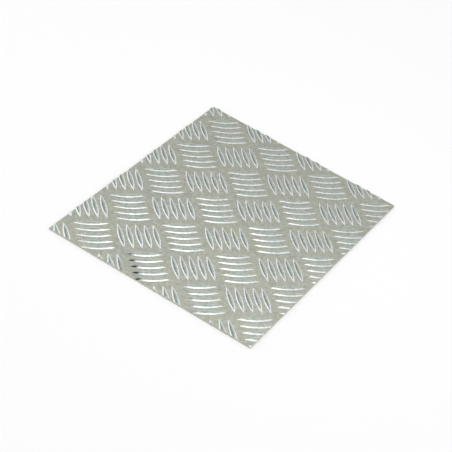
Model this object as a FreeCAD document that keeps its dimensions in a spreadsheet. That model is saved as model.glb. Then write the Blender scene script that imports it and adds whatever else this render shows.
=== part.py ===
"""Aluminium five-bar tread plate: a flat rolled sheet with raised lens-shaped bars, sheared to size.

The stock is rolled wider and longer than the sheet, bars and all, and the shears then cut it to size, so
the bars end at the cut along all four edges. Sizes are in millimetres. The origin is the centre of the
underside, X runs along the short side, Y along the long side, and the bars stand up along +Z.
"""

import FreeCAD, Part
import os
import Sketcher

SHEET_SIZES = {
    "sheet_width": 150.0,        # short side, along X
    "sheet_length": 200.0,       # long side, along Y
    "sheet_thickness": 1.0,      # the flat sheet under the bars
    "pattern_repeat": 41.4,      # from one group of bars to the next that lies the same way
    "first_group_x": 23.5,       # centre of the first rising group from the -X edge
    "first_group_y": 15.6,       # centre of the first rising group from the -Y edge
    "bar_length": 23.9,          # tip to tip
    "bar_width": 3.9,            # across the middle, at the foot
    "bar_spacing": 5.86,         # from the middle line of a bar to that of its neighbour
    "bars_per_group": 5,
    "bar_height": 0.6,           # above the flat sheet
    "flank_lean": 40.0,          # lean of the bars' flanks, in degrees from upright
}
RISING = 45.0                    # direction of a rising group's bars, in degrees from X
FALLING = -45.0                  # direction of the bars in the groups between them
UP = FreeCAD.Vector(0, 0, 1)
NODE = "tread_plate"

# The chequerboard of groups starts one repeat outside the sheet's corner and ends one repeat past the
# far edges. The stock is large enough to carry every bar of it.
FIELD_START_X = "-sizes.sheet_width / 2 + sizes.first_group_x - sizes.pattern_repeat"
FIELD_START_Y = "-sizes.sheet_length / 2 + sizes.first_group_y - sizes.pattern_repeat"
COLUMNS = "ceil(sizes.sheet_width / sizes.pattern_repeat) + 2"
ROWS = "ceil(sizes.sheet_length / sizes.pattern_repeat) + 2"
STOCK_WIDTH = "sizes.sheet_width + 6 * sizes.pattern_repeat"
STOCK_LENGTH = "sizes.sheet_length + 6 * sizes.pattern_repeat"
OFFCUT_WIDTH = "sizes.sheet_width + 8 * sizes.pattern_repeat"
OFFCUT_LENGTH = "sizes.sheet_length + 8 * sizes.pattern_repeat"
TOTAL_THICKNESS = "sizes.sheet_thickness + sizes.bar_height"
HALF_GROUP = "sizes.bar_spacing * (sizes.bars_per_group - 1) / 2"
ARC_RADIUS = "(sizes.bar_length ^ 2 + sizes.bar_width ^ 2) / (4 * sizes.bar_width)"


def add_sizes(document):
    """The driving sizes, one to a row of a spreadsheet."""
    sheet = document.addObject("Spreadsheet::Sheet", "sizes")
    for row, (name, value) in enumerate(SHEET_SIZES.items(), start=1):
        sheet.set(f"A{row}", name)
        sheet.set(f"B{row}", str(value))
        sheet.setAlias(f"B{row}", name)
    document.recompute()


def origin_feature(body, role):
    """One of the body's own planes or axes."""
    return next(feature for feature in body.Origin.OriginFeatures if feature.Role == role)


def add_sketch(body, name):
    """An empty sketch on the body's XY plane, the underside of the sheet."""
    sketch = body.newObject("Sketcher::SketchObject", name)
    sketch.AttachmentSupport = [(origin_feature(body, "XY_Plane"), "")]
    sketch.MapMode = "FlatFace"
    return sketch


def constrain(sketch, kind, *places):
    """A constraint without a size."""
    return sketch.addConstraint(Sketcher.Constraint(kind, *places))


def dimension(sketch, kind, places, drawn, expression):
    """A constraint that starts at the size drawn and then follows the spreadsheet."""
    index = sketch.addConstraint(Sketcher.Constraint(kind, *places, drawn))
    sketch.setExpression(f"Constraints[{index}]", expression)


def add_rectangle(sketch, width, length):
    """A rectangle centred on the sketch's origin."""
    corners = [FreeCAD.Vector(x, y, 0) for x, y in ((-1, -1), (1, -1), (1, 1), (-1, 1))]
    sides = [Part.LineSegment(corners[side], corners[(side + 1) % 4]) for side in range(4)]
    near, right, far, left = sketch.addGeometry(sides, False)
    for side, following in ((near, right), (right, far), (far, left), (left, near)):
        constrain(sketch, "Coincident", side, 2, following, 1)
    constrain(sketch, "Horizontal", near)
    constrain(sketch, "Horizontal", far)
    constrain(sketch, "Vertical", right)
    constrain(sketch, "Vertical", left)
    constrain(sketch, "Symmetric", near, 1, far, 1, -1, 1)
    dimension(sketch, "DistanceX", (near, 1, near, 2), corners[1].x - corners[0].x, width)
    dimension(sketch, "DistanceY", (right, 1, right, 2), corners[2].y - corners[1].y, length)


def add_lens(sketch):
    """The foot of a group's first bar: two equal arcs that meet in a point at each tip."""
    length, width = SHEET_SIZES["bar_length"], SHEET_SIZES["bar_width"]
    right_tip, left_tip = FreeCAD.Vector(length / 2, 0, 0), FreeCAD.Vector(-length / 2, 0, 0)
    bulge = FreeCAD.Vector(0, width / 2, 0)
    arcs = [Part.Arc(right_tip, bulge, left_tip), Part.Arc(left_tip, -bulge, right_tip)]
    upper, lower = sketch.addGeometry(arcs, False)
    constrain(sketch, "Coincident", upper, 2, lower, 1)
    constrain(sketch, "Coincident", lower, 2, upper, 1)
    constrain(sketch, "Symmetric", upper, 1, upper, 2, -2)
    constrain(sketch, "Equal", upper, lower)
    dimension(sketch, "DistanceX", (upper, 2, upper, 1), length, "sizes.bar_length")
    dimension(sketch, "Radius", (upper,), sketch.Geometry[upper].Radius, ARC_RADIUS)
    dimension(sketch, "DistanceY", (upper, 1, -1, 1), bulge.y, HALF_GROUP)


def add_bars(body, name, direction, shift):
    """All the groups whose bars lie in one direction; shift, in repeats, places them on the chequerboard."""
    sketch = add_sketch(body, f"{name}_bar_outline")
    sketch.AttachmentOffset = FreeCAD.Placement(FreeCAD.Vector(), FreeCAD.Rotation(UP, direction))
    sketch.setExpression("AttachmentOffset.Base.x", f"{FIELD_START_X} + {shift} * sizes.pattern_repeat")
    sketch.setExpression("AttachmentOffset.Base.y", f"{FIELD_START_Y} - {shift} * sizes.pattern_repeat")
    sketch.setExpression("AttachmentOffset.Base.z", "sizes.sheet_thickness")
    add_lens(sketch)
    bar = body.newObject("PartDesign::Pad", f"{name}_bar")
    bar.Profile = sketch
    bar.setExpression("Length", "sizes.bar_height")
    bar.setExpression("TaperAngle", "-sizes.flank_lean")
    body.Document.recompute()
    field = body.newObject("PartDesign::MultiTransform", f"{name}_bars")
    field.Originals = [bar]
    group = add_row(body, f"{name}_group", (sketch, ["V_Axis"]))
    group.setExpression("Length", f"2 * {HALF_GROUP}")
    group.setExpression("Occurrences", "sizes.bars_per_group")
    columns = add_row(body, f"{name}_columns", (origin_feature(body, "X_Axis"), [""]))
    columns.setExpression("Length", f"sizes.pattern_repeat * ({COLUMNS} - 1)")
    columns.setExpression("Occurrences", COLUMNS)
    rows = add_row(body, f"{name}_rows", (origin_feature(body, "Y_Axis"), [""]))
    rows.setExpression("Length", f"sizes.pattern_repeat * ({ROWS} - 1)")
    rows.setExpression("Occurrences", ROWS)
    field.Transformations = [group, columns, rows]
    body.Tip = field
    body.Document.recompute()


def add_row(body, name, direction):
    """One evenly spaced row of copies, a step of a MultiTransform."""
    row = body.Document.addObject("PartDesign::LinearPattern", name)
    row.Direction = direction
    return row


def add_plate(document):
    """Rolls the stock with both sets of bars and shears the sheet out of it."""
    body = document.addObject("PartDesign::Body", NODE)
    body.Label = NODE
    outline = add_sketch(body, "stock_outline")
    add_rectangle(outline, STOCK_WIDTH, STOCK_LENGTH)
    stock = body.newObject("PartDesign::Pad", "rolled_stock")
    stock.Profile = outline
    stock.setExpression("Length", "sizes.sheet_thickness")
    document.recompute()
    add_bars(body, "rising", RISING, 0)
    add_bars(body, "falling", FALLING, 0.5)
    cut = add_sketch(body, "shear_lines")
    add_rectangle(cut, "sizes.sheet_width", "sizes.sheet_length")
    add_rectangle(cut, OFFCUT_WIDTH, OFFCUT_LENGTH)
    shears = body.newObject("PartDesign::Pocket", "sheared_edges")
    shears.Profile = cut
    shears.Reversed = True
    shears.setExpression("Length", f"2 * ({TOTAL_THICKNESS})")
    body.Tip = shears
    document.recompute()
    return body


def check(document, body):
    """Stops on a failed feature, a shape that isn't one valid solid, or edges that weren't sheared."""
    for item in document.Objects:
        if "Invalid" in item.State or "Error" in item.State:
            raise RuntimeError(f"{item.Label} failed: {item.State}")
    shape = body.Shape
    if shape.isNull() or not shape.isValid() or len(shape.Solids) != 1:
        raise RuntimeError("the plate isn't one valid solid")
    print(body.Label, shape.BoundBox, "volume", round(shape.Volume, 1), "faces", len(shape.Faces))


def main():
    document = FreeCAD.newDocument("five_bar_tread_plate")
    add_sizes(document)
    body = add_plate(document)
    check(document, body)
    os.makedirs("parts", exist_ok=True)
    body.Shape.exportStep(f"parts/{NODE}.step")


main()
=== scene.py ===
"""A five-bar aluminium tread plate lying flat on a white studio floor.

The sheet and its bars are one mesh, which stands for the CAD solid: the same outline, pattern and heights,
with the rolled roundings that the CAD solid leaves out. Lengths ending in _MM are millimetres.
"""

import math
import bmesh
import bpy
from mathutils import Matrix, Vector


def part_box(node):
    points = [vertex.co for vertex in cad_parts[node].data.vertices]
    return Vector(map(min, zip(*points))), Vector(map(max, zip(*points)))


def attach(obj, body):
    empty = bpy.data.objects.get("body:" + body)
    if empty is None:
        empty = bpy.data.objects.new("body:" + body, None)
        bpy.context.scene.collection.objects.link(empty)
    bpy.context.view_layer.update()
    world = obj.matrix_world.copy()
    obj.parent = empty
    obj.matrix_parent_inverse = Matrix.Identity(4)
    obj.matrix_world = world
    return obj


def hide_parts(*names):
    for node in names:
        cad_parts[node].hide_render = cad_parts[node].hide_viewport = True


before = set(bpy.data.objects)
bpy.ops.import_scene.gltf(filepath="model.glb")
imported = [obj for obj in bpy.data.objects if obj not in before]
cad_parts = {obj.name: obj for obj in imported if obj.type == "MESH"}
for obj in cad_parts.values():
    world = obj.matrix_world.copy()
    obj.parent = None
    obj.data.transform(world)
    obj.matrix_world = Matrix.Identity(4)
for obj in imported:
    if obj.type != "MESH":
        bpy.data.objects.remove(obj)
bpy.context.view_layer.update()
MM = 0.001

# The sheet, in its own frame: X along the short side, Y along the long side.
SHEET_LOW, SHEET_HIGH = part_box("tread_plate")
BAR_HEIGHT_MM = 0.6
SHEET_TOP = SHEET_HIGH.z - BAR_HEIGHT_MM * MM
SHEARED_ROUNDING_MM = 0.08

# The five-bar pattern: groups on a chequerboard, rising and falling at 45 degrees by turns.
REPEAT_MM = 41.4
FIRST_GROUP_MM = (23.5, 15.6)
BAR_LENGTH_MM = 23.9
BAR_WIDTH_MM = 3.9
BAR_SPACING_MM = 5.86
BARS_PER_GROUP = 5
RISING = math.radians(45)
FALLING = math.radians(-45)
ARC_STEPS = 16

# The bar's side, from just under the sheet up to the crown: how far in from the foot's outline, and how high.
# A hollow rounding where the metal flows up from the sheet, a straight flank, a round shoulder, a low crown.
BAR_SIDE_MM = (
    (-0.35, -0.05),
    (-0.15, 0.0),
    (-0.02, 0.03),
    (0.10, 0.08),
    (0.62, 0.37),
    (0.80, 0.43),
    (1.10, 0.49),
    (1.50, 0.55),
    (1.88, 0.6),
)


def srgb(text):
    """A hex colour as the linear RGBA that the shaders use."""
    channels = [int(text[i:i + 2], 16) / 255 for i in (1, 3, 5)]
    return [c / 12.92 if c <= 0.04045 else ((c + 0.055) / 1.055) ** 2.4 for c in channels] + [1.0]


def add_node(tree, kind, settings=None, inputs=None, links=None):
    """A shader node with its settings, its socket values and its incoming links, by socket name or number."""
    node = tree.nodes.new(kind)
    for name, value in (settings or {}).items():
        setattr(node, name, value)
    for name, value in (inputs or {}).items():
        node.inputs[name].default_value = value
    for name, socket in (links or {}).items():
        tree.links.new(socket, node.inputs[name])
    return node


# ---------------------------------------------------------------- the sheet and its bars

def arc_radius():
    """Radius of the two arcs that make a bar's lens-shaped foot."""
    return (BAR_LENGTH_MM ** 2 + BAR_WIDTH_MM ** 2) / (4 * BAR_WIDTH_MM)


def lens_ring(inset):
    """The bar's outline, that far inside its foot: round the upper arc from tip to tip, and back."""
    radius = arc_radius() - inset
    middle = arc_radius() - BAR_WIDTH_MM / 2
    reach = math.sqrt(radius ** 2 - middle ** 2)
    points = []
    for step in range(2 * ARC_STEPS):
        along = reach * math.cos(math.pi * step / ARC_STEPS)
        across = math.sqrt(max(radius ** 2 - along ** 2, middle ** 2)) - middle
        points.append((along, across if step <= ARC_STEPS else -across))
    return points


def add_bar(mesh, place):
    """One raised bar as a closed shape sunk a little into the sheet."""
    rings = []
    for inset, height in BAR_SIDE_MM:
        corners = [place @ Vector((x * MM, y * MM, height * MM)) for x, y in lens_ring(inset)]
        rings.append([mesh.verts.new(corner) for corner in corners])
    count = 2 * ARC_STEPS
    for lower, upper in zip(rings, rings[1:]):
        for i in range(count):
            following = (i + 1) % count
            mesh.faces.new((lower[i], lower[following], upper[following], upper[i]))
    mesh.faces.new(list(reversed(rings[0])))
    crown = rings[-1]
    mesh.faces.new((crown[0], crown[1], crown[-1]))
    for i in range(1, ARC_STEPS - 1):
        mesh.faces.new((crown[i], crown[i + 1], crown[-i - 1], crown[-i]))
    mesh.faces.new((crown[ARC_STEPS - 1], crown[ARC_STEPS], crown[ARC_STEPS + 1]))


def group_places(direction, shift):
    """Where the groups of one direction stand; shift, in repeats, puts them on the chequerboard."""
    start = Vector((SHEET_LOW.x / MM + FIRST_GROUP_MM[0], SHEET_LOW.y / MM + FIRST_GROUP_MM[1], 0))
    start += Vector((shift - 1, -shift - 1, 0)) * REPEAT_MM
    columns = math.ceil((SHEET_HIGH.x - SHEET_LOW.x) / MM / REPEAT_MM) + 2
    rows = math.ceil((SHEET_HIGH.y - SHEET_LOW.y) / MM / REPEAT_MM) + 2
    for column in range(columns):
        for row in range(rows):
            centre = start + Vector((column, row, 0)) * REPEAT_MM
            stand = Matrix.Translation((centre.x * MM, centre.y * MM, SHEET_TOP))
            yield stand @ Matrix.Rotation(direction, 4, "Z")


def reaches_sheet(place):
    """True where a bar at this place has any part over the sheet."""
    half = BAR_LENGTH_MM * MM / 2
    centre = place.translation
    return (
        SHEET_LOW.x - half < centre.x < SHEET_HIGH.x + half
        and SHEET_LOW.y - half < centre.y < SHEET_HIGH.y + half
    )


def add_bars(mesh):
    """Every bar that stands on the sheet, whole or cut."""
    first = -(BARS_PER_GROUP - 1) / 2
    for direction, shift in ((RISING, 0), (FALLING, 0.5)):
        for group in group_places(direction, shift):
            for number in range(BARS_PER_GROUP):
                offset = (first + number) * BAR_SPACING_MM * MM
                place = group @ Matrix.Translation((0, offset, 0))
                if reaches_sheet(place):
                    add_bar(mesh, place)


def shear(mesh):
    """Cuts the bars off at the sheet's four edges and closes each cut with a crisp-edged face."""
    cuts = ((SHEET_LOW, (-1, 0, 0)), (SHEET_LOW, (0, -1, 0)), (SHEET_HIGH, (1, 0, 0)), (SHEET_HIGH, (0, 1, 0)))
    for point, outward in cuts:
        everything = mesh.verts[:] + mesh.edges[:] + mesh.faces[:]
        bmesh.ops.bisect_plane(
            mesh, geom=everything, plane_co=point, plane_no=outward, clear_outer=True, dist=1e-7
        )
        open_edges = [edge for edge in mesh.edges if edge.is_boundary]
        cut_faces = bmesh.ops.holes_fill(mesh, edges=open_edges)["faces"]
        for edge in {edge for face in cut_faces for edge in face.edges}:
            edge.smooth = False


def add_flat_sheet(mesh):
    """The flat sheet under the bars, its long edges and corners rounded slightly by the shears."""
    size = SHEET_HIGH - SHEET_LOW
    thickness = SHEET_TOP - SHEET_LOW.z
    middle = (SHEET_LOW + SHEET_HIGH) / 2
    middle.z = SHEET_LOW.z + thickness / 2
    place = Matrix.Translation(middle) @ Matrix.Diagonal((size.x, size.y, thickness, 1))
    verts = bmesh.ops.create_cube(mesh, size=1, matrix=place)["verts"]
    edges = list({edge for vert in verts for edge in vert.link_edges})
    bmesh.ops.bevel(
        mesh, geom=edges, offset=SHEARED_ROUNDING_MM * MM, segments=3, profile=0.5, affect="EDGES"
    )


def make_plate():
    """The whole plate as one piece."""
    bars = bmesh.new()
    add_bars(bars)
    shear(bars)
    for face in bars.faces:
        face.smooth = True
    add_flat_sheet(bars)
    bmesh.ops.recalc_face_normals(bars, faces=bars.faces[:])
    mesh = bpy.data.meshes.new("rolled_tread_sheet")
    bars.to_mesh(mesh)
    bars.free()
    plate = bpy.data.objects.new("rolled_tread_sheet", mesh)
    bpy.context.scene.collection.objects.link(plate)
    plate.data.materials.append(mill_aluminium())
    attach(plate, "root")
    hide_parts("tread_plate")
    return plate


# ---------------------------------------------------------------- materials

# Mill finish: the sheet's grey drifts between a cool and a warm cast, the crowns are greener,
# and the flanks get a painted highlight, a near-white colour in place of the light they catch.
SHEET_COOL = "#B5BAAE"
SHEET_WARM = "#BDBDB0"
CROWN = "#AFBBB2"
# Painted highlight on the bars' flanks.
FLANK_PAINTED_HIGHLIGHT = "#E6E9EA"
# Painted dark reflection on some bar tips.
PAINTED_DARK_REFLECTION = "#2C3032"
CAST_MM = 45.0
GRIT_MM = 2.0
GRIT_DEPTH_MM = 0.06
GRIT_SPAN = (0.3, 0.7)
GRIT_SHADE = (0.78, 1.18)
# Painted shade along the sheet's long side: the colour is scaled from the first factor at low Y to the second
# at high Y.
PAINTED_SHADE_ALONG_SHEET = (1.10, 0.88)
SHEET_ROUGHNESS = 0.45
BAR_ROUGHNESS = 0.3

# Heights above the sheet over which one colour gives way to the next: the bar's start, the crown's greener
# tone, and the end of the flanks' painted highlight.
BAR_STARTS_MM = (0.01, 0.06)
CROWN_STARTS_MM = (0.25, 0.4)
FLANK_ENDS_MM = (0.42, 0.36)

# How upright the surface's normal is where the flanks' painted highlight starts and is full,
# and where the dull sheared faces end.
FLANK_NORMAL = (0.98, 0.94)
SHEARED_NORMAL = (0.2, 0.5)

# Painted dark reflections: dark marks on the bars' tips in place of a dark thing mirrored there. Each gives
# its centre on the sheet, half size along and across the mark, and strength.
# The rim is the share of the half size over which a mark fades out.
DARK_MARK_RIM = 0.6
DARK_REFLECTION_MARKS = (
    ((-15.5, -95.0), (30.0, 6.5), 1.0),
    ((24.5, -93.5), (28.0, 5.5), 0.6),
    ((-52.0, -82.5), (1.3, 1.8), 0.7),
)


def dark_reflection_mark(tree, where, centre_mm, half_size_mm, strongest):
    """How strongly an oval painted dark reflection lying along the falling diagonal covers each place."""
    spot = add_node(tree, "ShaderNodeMapping", {"vector_type": "TEXTURE"}, links={"Vector": where})
    spot.inputs["Location"].default_value = (centre_mm[0] * MM, centre_mm[1] * MM, SHEET_TOP)
    spot.inputs["Rotation"].default_value = (0, 0, FALLING)
    spot.inputs["Scale"].default_value = (half_size_mm[0] * MM, half_size_mm[1] * MM, half_size_mm[1] * MM)
    round_off = add_node(tree, "ShaderNodeTexGradient", {"gradient_type": "SPHERICAL"},
                         links={"Vector": spot.outputs["Vector"]})
    cover = add_node(tree, "ShaderNodeMapRange", {"interpolation_type": "SMOOTHSTEP"},
                     {"From Max": DARK_MARK_RIM, "To Max": strongest}, {"Value": round_off.outputs["Fac"]})
    return cover.outputs["Result"]


def above_sheet(start_mm, end_mm):
    """The limits of a passage between two heights above the sheet."""
    return {"From Min": SHEET_TOP + start_mm * MM, "From Max": SHEET_TOP + end_mm * MM}


def mill_aluminium():
    """Mill-finish aluminium, rolled with the tread cut in the roll: the sheet is a satin khaki grey,
    mottled by the roll's grit, which is drawn coarser than real so that it shows, with painted shade that
    darkens it along its length. The bars are smoother. Their crowns are a little greener, their flanks carry a
    painted highlight (a near-white colour where the surface leans), and dark marks on some tips are painted
    reflections of a dark thing."""
    material = bpy.data.materials.new("mill_finish_aluminium")
    material.use_nodes = True
    tree = material.node_tree
    shader = tree.nodes["Principled BSDF"]
    shader.inputs["Metallic"].default_value = 1.0
    where = add_node(tree, "ShaderNodeTexCoord").outputs["Object"]
    geometry = add_node(tree, "ShaderNodeNewGeometry")
    upright = add_node(tree, "ShaderNodeSeparateXYZ",
                       links={"Vector": geometry.outputs["Normal"]}).outputs["Z"]
    height = add_node(tree, "ShaderNodeSeparateXYZ",
                      links={"Vector": geometry.outputs["Position"]}).outputs["Z"]
    cast = add_node(tree, "ShaderNodeTexNoise", inputs={"Scale": 1 / (CAST_MM * MM), "Detail": 2.0},
                    links={"Vector": where})
    grit = add_node(tree, "ShaderNodeTexNoise",
                    inputs={"Scale": 1 / (GRIT_MM * MM), "Detail": 3.0, "Roughness": 0.7},
                    links={"Vector": where})

    on_bar = add_node(tree, "ShaderNodeMapRange", inputs=above_sheet(*BAR_STARTS_MM),
                      links={"Value": height}).outputs["Result"]
    on_crown = add_node(tree, "ShaderNodeMapRange", inputs=above_sheet(*CROWN_STARTS_MM),
                        links={"Value": height}).outputs["Result"]
    below_crown = add_node(tree, "ShaderNodeMapRange", inputs=above_sheet(*FLANK_ENDS_MM),
                           links={"Value": height}).outputs["Result"]
    leaning = add_node(tree, "ShaderNodeMapRange",
                       inputs={"From Min": FLANK_NORMAL[0], "From Max": FLANK_NORMAL[1]},
                       links={"Value": upright}).outputs["Result"]
    not_sheared = add_node(tree, "ShaderNodeMapRange",
                           inputs={"From Min": SHEARED_NORMAL[0], "From Max": SHEARED_NORMAL[1]},
                           links={"Value": upright}).outputs["Result"]
    # The flanks' painted highlight: leaning faces on the bar, below the crown, not on a sheared cut.
    flank_highlight = leaning
    for limit in (on_bar, below_crown, not_sheared):
        flank_highlight = add_node(tree, "ShaderNodeMath", {"operation": "MULTIPLY"},
                          links={0: flank_highlight, 1: limit}).outputs["Value"]

    colour = add_node(tree, "ShaderNodeMix", {"data_type": "RGBA"},
                      {"A": srgb(SHEET_COOL), "B": srgb(SHEET_WARM)},
                      {"Factor": cast.outputs["Fac"]}).outputs["Result"]
    # Mix in the crowns' greener tone, then the flanks' painted highlight.
    for cover, hue in ((on_crown, CROWN), (flank_highlight, FLANK_PAINTED_HIGHLIGHT)):
        colour = add_node(tree, "ShaderNodeMix", {"data_type": "RGBA"}, {"B": srgb(hue)},
                          {"Factor": cover, "A": colour}).outputs["Result"]
    # Painted dark reflections on the bars' tips.
    for mark in DARK_REFLECTION_MARKS:
        cover = add_node(tree, "ShaderNodeMath", {"operation": "MULTIPLY"},
                         links={0: dark_reflection_mark(tree, where, *mark), 1: on_bar}).outputs["Value"]
        colour = add_node(tree, "ShaderNodeMix", {"data_type": "RGBA"}, {"B": srgb(PAINTED_DARK_REFLECTION)},
                          {"Factor": cover, "A": colour}).outputs["Result"]

    mottle = add_node(tree, "ShaderNodeMapRange",
                      inputs={"From Min": GRIT_SPAN[0], "From Max": GRIT_SPAN[1],
                              "To Min": GRIT_SHADE[0], "To Max": GRIT_SHADE[1]},
                      links={"Value": grit.outputs["Fac"]}).outputs["Result"]
    along = add_node(tree, "ShaderNodeSeparateXYZ", links={"Vector": where}).outputs["Y"]
    # Painted shade: the colour is lighter at the sheet's low Y end and darker at its high Y end.
    painted_shade = add_node(tree, "ShaderNodeMapRange",
                    inputs={"From Min": SHEET_LOW.y, "From Max": SHEET_HIGH.y,
                            "To Min": PAINTED_SHADE_ALONG_SHEET[0], "To Max": PAINTED_SHADE_ALONG_SHEET[1]},
                    links={"Value": along}).outputs["Result"]
    # The grit's mottle times the painted shade.
    grit_and_painted_shade = add_node(tree, "ShaderNodeMath", {"operation": "MULTIPLY"},
                     links={0: mottle, 1: painted_shade}).outputs["Value"]
    shaded = add_node(tree, "ShaderNodeVectorMath", {"operation": "SCALE"},
                      links={"Vector": colour, "Scale": grit_and_painted_shade})
    tree.links.new(shaded.outputs["Vector"], shader.inputs["Base Color"])
    roughness = add_node(tree, "ShaderNodeMapRange",
                         inputs={"To Min": SHEET_ROUGHNESS, "To Max": BAR_ROUGHNESS},
                         links={"Value": on_bar})
    tree.links.new(roughness.outputs["Result"], shader.inputs["Roughness"])
    bump = add_node(tree, "ShaderNodeBump", inputs={"Strength": 1.0, "Distance": GRIT_DEPTH_MM * MM},
                    links={"Height": grit.outputs["Fac"]})
    tree.links.new(bump.outputs["Normal"], shader.inputs["Normal"])
    return material


def white_floor():
    """Matt white paper: it shows the plate's soft shadow and nothing else."""
    material = bpy.data.materials.new("matt_white_paper")
    material.use_nodes = True
    shader = material.node_tree.nodes["Principled BSDF"]
    shader.inputs["Base Color"].default_value = srgb("#FAFAFA")
    shader.inputs["Roughness"].default_value = 0.9
    shader.inputs["Specular IOR Level"].default_value = 0.0
    return material


# ---------------------------------------------------------------- studio

CAMERA_AIM_MM = (2.87, -9.89, 0.0)
CAMERA_AZIMUTH = 21.18
CAMERA_ELEVATION = 36.8
CAMERA_DISTANCE_MM = 1063.8
CAMERA_ROLL = 16.63
CAMERA_LENS_MM = 130.29

# The grey stretch of the surround: where it is, how far it reaches in degrees, and how light it stays.
GREY_AZIMUTH = 217.0
GREY_ELEVATION = 44.0
GREY_REACH = 16.0
GREY_LEVEL = 0.2

FLOOR_SIDE = 6.0


def direction_to(azimuth, elevation):
    """A unit vector towards a place round the plate: azimuth 0 is -Y, 90 is +X."""
    around, up = math.radians(azimuth), math.radians(elevation)
    return Vector((math.sin(around) * math.cos(up), -math.cos(around) * math.cos(up), math.sin(up)))


def make_camera():
    """A long lens held with a tilt, looking down at the plate."""
    data = bpy.data.cameras.new("camera")
    data.sensor_width = 36.0
    data.lens = CAMERA_LENS_MM
    camera = bpy.data.objects.new("camera", data)
    bpy.context.scene.collection.objects.link(camera)
    away = direction_to(CAMERA_AZIMUTH, CAMERA_ELEVATION)
    aim = Vector(CAMERA_AIM_MM) * MM
    turn = (-away).to_track_quat("-Z", "Y").to_matrix().to_4x4()
    tilt = Matrix.Rotation(math.radians(CAMERA_ROLL), 4, "Z")
    camera.matrix_world = Matrix.Translation(aim + away * CAMERA_DISTANCE_MM * MM) @ turn @ tilt
    bpy.context.scene.camera = camera


def add_softbox(name, azimuth, elevation, distance, size, watts, target_mm=(0, 0, 0)):
    """A square soft light at a distance from its target, aimed at it."""
    data = bpy.data.lights.new(name, "AREA")
    data.size = size
    data.energy = watts
    light = bpy.data.objects.new(name, data)
    light.visible_camera = False
    bpy.context.scene.collection.objects.link(light)
    away = direction_to(azimuth, elevation)
    turn = (-away).to_track_quat("-Z", "Y").to_matrix().to_4x4()
    light.matrix_world = Matrix.Translation(Vector(target_mm) * MM + away * distance) @ turn


def light_surround():
    """A white surround with one grey stretch behind the sheet, which shades one half of the falling bars'
    crowns. The camera itself sees plain white, and so does the metal everywhere but in that stretch."""
    world = bpy.data.worlds.new("white_surround")
    bpy.context.scene.world = world
    world.use_nodes = True
    tree = world.node_tree
    background = tree.nodes["Background"]
    ray = add_node(tree, "ShaderNodeTexCoord").outputs["Generated"]
    towards = add_node(tree, "ShaderNodeVectorMath", {"operation": "DOT_PRODUCT"},
                       {1: direction_to(GREY_AZIMUTH, GREY_ELEVATION)}, {0: ray})
    level = add_node(tree, "ShaderNodeMapRange", {"interpolation_type": "SMOOTHSTEP"},
                     {"From Min": math.cos(math.radians(GREY_REACH)), "From Max": 1.0,
                      "To Min": 1.0, "To Max": GREY_LEVEL},
                     {"Value": towards.outputs["Value"]})
    path = add_node(tree, "ShaderNodeLightPath")
    strength = add_node(tree, "ShaderNodeMath", {"operation": "MAXIMUM"},
                        links={0: level.outputs["Result"], 1: path.outputs["Is Camera Ray"]})
    background.inputs["Color"].default_value = (1, 1, 1, 1)
    tree.links.new(strength.outputs["Value"], background.inputs["Strength"])


def make_studio():
    """A white floor, a white surround, a small softbox overhead and a large one at the left."""
    bpy.ops.mesh.primitive_plane_add(size=FLOOR_SIDE, location=(0, 0, SHEET_LOW.z))
    floor = bpy.context.object
    floor.name = "floor"
    floor.data.materials.append(white_floor())
    light_surround()
    add_softbox("key_softbox", azimuth=70.0, elevation=83.0, distance=0.45, size=0.08, watts=0.09,
                target_mm=(34, 38, 0))
    add_softbox("left_softbox", azimuth=-79.0, elevation=42.0, distance=1.2, size=0.5, watts=0.5)


bpy.context.scene.view_settings.view_transform = "Standard"
make_camera()
make_studio()
make_plate()
